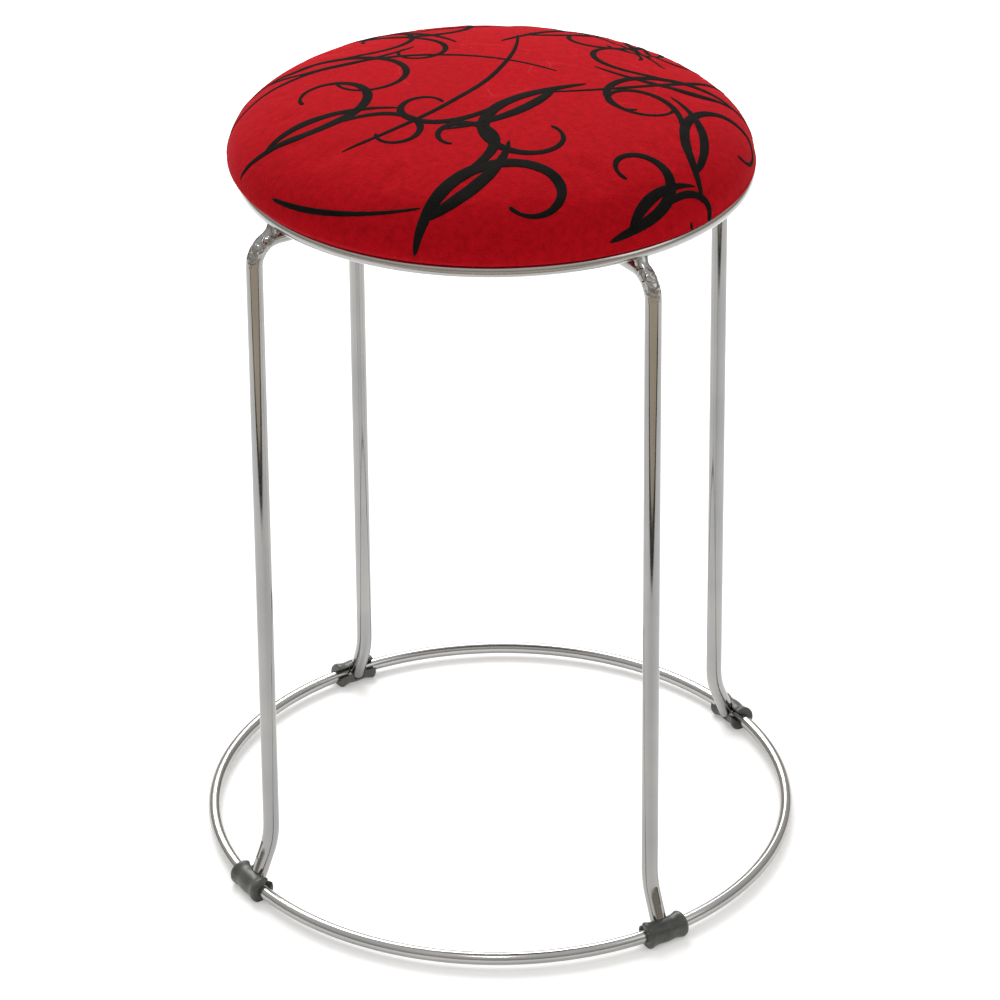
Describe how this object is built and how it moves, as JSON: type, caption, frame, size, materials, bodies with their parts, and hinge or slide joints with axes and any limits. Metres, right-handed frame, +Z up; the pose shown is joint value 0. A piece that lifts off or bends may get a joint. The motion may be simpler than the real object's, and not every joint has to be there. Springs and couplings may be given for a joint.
{
  "type": "round stacking stool",
  "caption": "Round low stool: welded chrome tube hoops and rings on clip feet, with a domed velour cushion over a plywood board.",
  "frame": {"origin": "on the floor, under the common axis of the seat ring and the foot ring", "axes": "+Z up along the stool's axis; one leg hoop lies in the XZ plane and the other in the YZ plane"},
  "size_m": [0.343, 0.343, 0.446],
  "materials": {
    "velour": "short-pile red velour with flocked black flourishes",
    "foam": "open-cell polyurethane foam",
    "plywood": "raw plywood",
    "lining": "spun-bonded non-woven",
    "chrome": "bright chrome plate",
    "clip_plastic": "satin moulded plastic",
    "fixings": "zinc-plated steel"
  },
  "bodies": {
    "root": {"seat_cover": "velour", "seat_foam": "foam", "seat_board": "plywood", "underside_lining": "lining", "cover_staples": "fixings", "seat_ring": "chrome", "leg_hoop_a": "chrome", "leg_hoop_b": "chrome", "foot_ring": "chrome", "seat_ring_welds": "chrome", "foot_ring_welds": "chrome", "crossing_weld": "chrome", "foot_clip_1": "clip_plastic", "seat_screw_1": "fixings", "saddle_washer_1": "fixings", "tee_nut_1": "fixings", "foot_clip_2": "clip_plastic", "seat_screw_2": "fixings", "saddle_washer_2": "fixings", "tee_nut_2": "fixings", "foot_clip_3": "clip_plastic", "seat_screw_3": "fixings", "saddle_washer_3": "fixings", "tee_nut_3": "fixings", "foot_clip_4": "clip_plastic", "seat_screw_4": "fixings", "saddle_washer_4": "fixings", "tee_nut_4": "fixings"}
  },
  "joints": []
}
